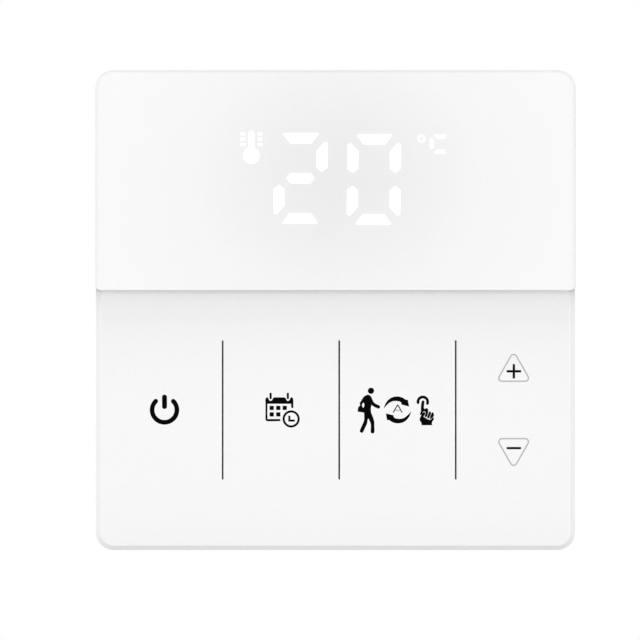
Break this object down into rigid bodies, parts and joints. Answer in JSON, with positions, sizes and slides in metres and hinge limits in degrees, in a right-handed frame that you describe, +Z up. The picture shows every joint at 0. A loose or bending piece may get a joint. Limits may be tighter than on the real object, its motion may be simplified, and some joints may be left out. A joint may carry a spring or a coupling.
{
  "type": "wall thermostat",
  "caption": "Square flush-mount wall thermostat: raised lit display window over a recessed touch key panel, clipped to a wall base with a rear tub and wire terminals.",
  "frame": {"origin": "on the wall plane, midway between the two wall screw slots, which is the middle of the square face", "axes": "+X to the right and +Z up as the user faces it, +Y into the wall; the face looks along -Y"},
  "size_m": [0.086, 0.0385, 0.086],
  "materials": {
    "window_white": "polished, lit from behind",
    "panel_white": "satin with printed marks",
    "shell_white": "fine moulded grain",
    "base_white": "moulded",
    "module_white": "moulded",
    "board_green": "solder mask",
    "black_plastic": "moulded",
    "conductive_foam": "foam",
    "sensor_glass": "dipped bead",
    "steel": "plated",
    "brass": "bright",
    "copper": "enamelled wire",
    "ferrite": "sintered",
    "relay_blue": "moulded",
    "can_sleeve": "sleeve",
    "disc_blue": "dipped",
    "terminal_green": "moulded"
  },
  "bodies": {
    "base": {"base_plate": "base_white", "power_box": "base_white", "box_screws": "steel", "power_board": "board_green", "power_board_screws": "steel", "header_base": "black_plastic", "header_pins": "brass", "relay_base": "black_plastic", "relay_case": "relay_blue", "relay_yoke": "steel", "relay_coil": "copper", "relay_contact": "brass", "transformer_core": "ferrite", "transformer_winding": "copper", "smoothing_capacitors": "can_sleeve", "mains_fuse": "black_plastic", "surge_disc": "disc_blue", "terminal_block": "terminal_green", "contact_bars": "brass"},
    "front_panel": {"front_shell": "shell_white", "display_window": "window_white", "key_panel": "panel_white", "panel_catches": "shell_white", "display_board": "board_green", "board_screws": "steel", "led_module": "module_white", "diffuser_film": "module_white", "touch_pads": "conductive_foam", "control_chips": "black_plastic", "backup_cell": "steel", "cell_clip": "steel", "room_sensor": "sensor_glass", "header_socket": "black_plastic"},
    "relay_armature": {"relay_armature": "steel"},
    "clamp_cage_1": {"clamp_cage_1": "brass"},
    "clamp_screw_1": {"clamp_screw_1": "steel"},
    "clamp_cage_2": {"clamp_cage_2": "brass"},
    "clamp_screw_2": {"clamp_screw_2": "steel"},
    "clamp_cage_3": {"clamp_cage_3": "brass"},
    "clamp_screw_3": {"clamp_screw_3": "steel"},
    "clamp_cage_4": {"clamp_cage_4": "brass"},
    "clamp_screw_4": {"clamp_screw_4": "steel"},
    "clamp_cage_5": {"clamp_cage_5": "brass"},
    "clamp_screw_5": {"clamp_screw_5": "steel"},
    "clamp_cage_6": {"clamp_cage_6": "brass"},
    "clamp_screw_6": {"clamp_screw_6": "steel"}
  },
  "joints": [
    {"name": "panel_release", "type": "slide", "parent": "base", "child": "front_panel", "axis": [0, -1, 0], "range_m": [0, 0.04], "deforming": ["panel_catches"]},
    {"name": "relay_close", "type": "hinge", "parent": "base", "child": "relay_armature", "pos_m": [-0.0052, 0.01605, -0.0012], "axis": [0, 0, 1], "range_deg": [0, 4.5], "stiffness_Nm_per_rad": 0.005, "springref_deg": -9.74},
    {"name": "clamp_cage_1_rise", "type": "slide", "parent": "base", "child": "clamp_cage_1", "axis": [0, 1, 0], "range_m": [0, 0.003]},
    {"name": "clamp_screw_1_turn", "type": "hinge", "parent": "base", "child": "clamp_screw_1", "pos_m": [-0.0125, 0.012, -0.0186], "axis": [0, -1, 0], "range_deg": [0, 2400]},
    {"name": "clamp_cage_2_rise", "type": "slide", "parent": "base", "child": "clamp_cage_2", "axis": [0, 1, 0], "range_m": [0, 0.003]},
    {"name": "clamp_screw_2_turn", "type": "hinge", "parent": "base", "child": "clamp_screw_2", "pos_m": [-0.0075, 0.012, -0.0186], "axis": [0, -1, 0], "range_deg": [0, 2400]},
    {"name": "clamp_cage_3_rise", "type": "slide", "parent": "base", "child": "clamp_cage_3", "axis": [0, 1, 0], "range_m": [0, 0.003]},
    {"name": "clamp_screw_3_turn", "type": "hinge", "parent": "base", "child": "clamp_screw_3", "pos_m": [-0.0025, 0.012, -0.0186], "axis": [0, -1, 0], "range_deg": [0, 2400]},
    {"name": "clamp_cage_4_rise", "type": "slide", "parent": "base", "child": "clamp_cage_4", "axis": [0, 1, 0], "range_m": [0, 0.003]},
    {"name": "clamp_screw_4_turn", "type": "hinge", "parent": "base", "child": "clamp_screw_4", "pos_m": [0.0025, 0.012, -0.0186], "axis": [0, -1, 0], "range_deg": [0, 2400]},
    {"name": "clamp_cage_5_rise", "type": "slide", "parent": "base", "child": "clamp_cage_5", "axis": [0, 1, 0], "range_m": [0, 0.003]},
    {"name": "clamp_screw_5_turn", "type": "hinge", "parent": "base", "child": "clamp_screw_5", "pos_m": [0.0075, 0.012, -0.0186], "axis": [0, -1, 0], "range_deg": [0, 2400]},
    {"name": "clamp_cage_6_rise", "type": "slide", "parent": "base", "child": "clamp_cage_6", "axis": [0, 1, 0], "range_m": [0, 0.003]},
    {"name": "clamp_screw_6_turn", "type": "hinge", "parent": "base", "child": "clamp_screw_6", "pos_m": [0.0125, 0.012, -0.0186], "axis": [0, -1, 0], "range_deg": [0, 2400]}
  ],
  "couplings": [
    {"joint": "clamp_screw_1_turn", "follows": "clamp_cage_1_rise", "rad_per_m": 13963},
    {"joint": "clamp_screw_2_turn", "follows": "clamp_cage_2_rise", "rad_per_m": 13963},
    {"joint": "clamp_screw_3_turn", "follows": "clamp_cage_3_rise", "rad_per_m": 13963},
    {"joint": "clamp_screw_4_turn", "follows": "clamp_cage_4_rise", "rad_per_m": 13963},
    {"joint": "clamp_screw_5_turn", "follows": "clamp_cage_5_rise", "rad_per_m": 13963},
    {"joint": "clamp_screw_6_turn", "follows": "clamp_cage_6_rise", "rad_per_m": 13963}
  ]
}
